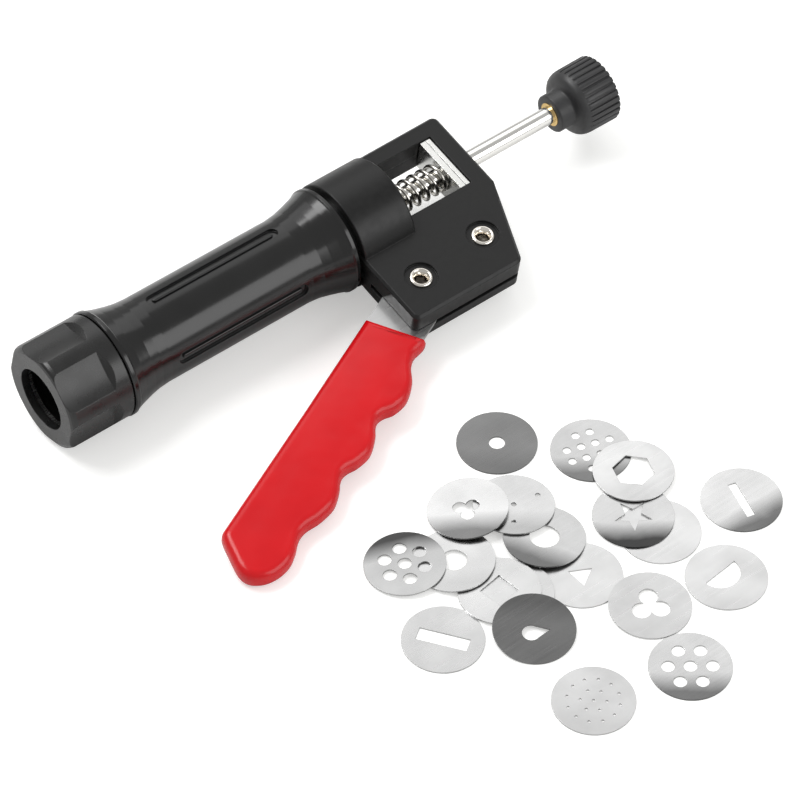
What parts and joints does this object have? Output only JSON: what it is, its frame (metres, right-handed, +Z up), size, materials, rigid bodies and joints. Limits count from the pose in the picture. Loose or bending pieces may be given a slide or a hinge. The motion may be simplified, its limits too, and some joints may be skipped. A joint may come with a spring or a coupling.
{
  "type": "clay_extruder",
  "caption": "Hand squeezed pottery clay extruder with a black barrel, screw cap, red lever grip, steel push rod with knob, and a scatter of round steel dies",
  "frame": {"origin": "on the barrel axis, in the plane of the cap's front face, at the outlet", "axes": "+X along the barrel from the outlet toward the knob, +Z up from the table, -Y toward the lever grip and the dies"},
  "size_m": [0.2636, 0.2641, 0.0431],
  "materials": {
    "cap": "satin black cast cap with a pale worn face",
    "die_seal": "plain washer",
    "barrel": "glossy black enamel",
    "rubber": "black seal rubber",
    "piston": "off-white acetal",
    "plated": "zinc plated steel",
    "rod": "bright drawn round bar",
    "knob": "matte black moulding",
    "insert": "turned brass",
    "housing": "satin black casting",
    "lever": "pale satin steel",
    "grip": "glossy red dipped vinyl",
    "rivet": "nickel plated hollow rivet",
    "plate": "stamped steel",
    "spring": "spring wire",
    "bush": "sintered bronze",
    "die": "thin stainless sheet"
  },
  "bodies": {
    "base": {"housing_upper": "housing", "housing_lower": "housing", "lever_rivet": "rivet", "rocker_rivet": "rivet", "rod_bush_front": "bush", "rod_bush_rear": "bush", "spring_washer": "plated", "return_spring": "spring", "die_round_small": "die", "die_vermicelli": "die", "die_hexagon": "die", "die_club": "die", "die_three_pins": "die", "die_star": "die", "die_blank": "die", "die_slot": "die", "die_seven_holes": "die", "die_round_middle": "die", "die_round_large": "die", "die_square": "die", "die_triangle": "die", "die_plain": "die", "die_trefoil": "die", "die_half_round": "die", "die_seven_wide": "die", "die_rectangle": "die", "die_teardrop": "die", "die_nineteen": "die"},
    "barrel_seal_slide": {"barrel_seal": "rubber"},
    "barrel_turn": {"barrel": "barrel"},
    "die_seal_slide": {"die_seal": "die_seal"},
    "cap_turn": {"front_cap": "cap"},
    "plunger": {"piston": "piston", "piston_ring": "rubber", "piston_nut": "plated", "push_rod": "rod", "knob": "knob", "knob_insert": "insert"},
    "lever": {"lever_plate": "lever", "lever_grip": "grip"},
    "rocker": {"rocker_arm": "plated"},
    "grip_plates": {"grip_plate_front": "plate", "grip_plate_rear": "plate"}
  },
  "joints": [
    {"name": "lever_squeeze", "type": "hinge", "parent": "base", "child": "lever", "pos_m": [0.1461, -0.03687, -0.00694], "axis": [0, 0.1522, -0.9883], "range_deg": [0, 25], "stiffness_Nm_per_rad": 0.6, "springref_deg": -20.05},
    {"name": "rocker_swing", "type": "hinge", "parent": "base", "child": "rocker", "pos_m": [0.1775, -0.0344, -0.00656], "axis": [0, -0.1522, 0.9883], "range_deg": [0, 25]},
    {"name": "plate_slide", "type": "slide", "parent": "base", "child": "grip_plates", "axis": [-1, 0, 0], "range_m": [0, 0.00957], "deforming": ["return_spring"]},
    {"name": "rod_slide", "type": "slide", "parent": "base", "child": "plunger", "axis": [1, 0, 0], "range_m": [-0.0412, 0.082]},
    {"name": "barrel_screw_travel", "type": "slide", "parent": "base", "child": "barrel_seal_slide", "axis": [-1, 0, 0], "range_m": [0, 0.0125]},
    {"name": "barrel_screw", "type": "hinge", "parent": "barrel_seal_slide", "child": "barrel_turn", "pos_m": [0.14, 0, 0], "axis": [-1, 0, 0], "range_deg": [0, 1800]},
    {"name": "cap_screw_travel", "type": "slide", "parent": "barrel_turn", "child": "die_seal_slide", "axis": [-1, 0, 0], "range_m": [0, 0.007]},
    {"name": "cap_screw", "type": "hinge", "parent": "die_seal_slide", "child": "cap_turn", "pos_m": [0.014, 0, 0], "axis": [-1, 0, 0], "range_deg": [0, 1260]}
  ],
  "couplings": [
    {"joint": "rocker_swing", "follows": "lever_squeeze", "ratio": 1},
    {"joint": "plate_slide", "follows": "lever_squeeze", "m_per_rad": 0.0219},
    {"joint": "barrel_screw_travel", "follows": "barrel_screw", "m_per_rad": 0.0003979},
    {"joint": "cap_screw_travel", "follows": "cap_screw", "m_per_rad": 0.0003183}
  ]
}
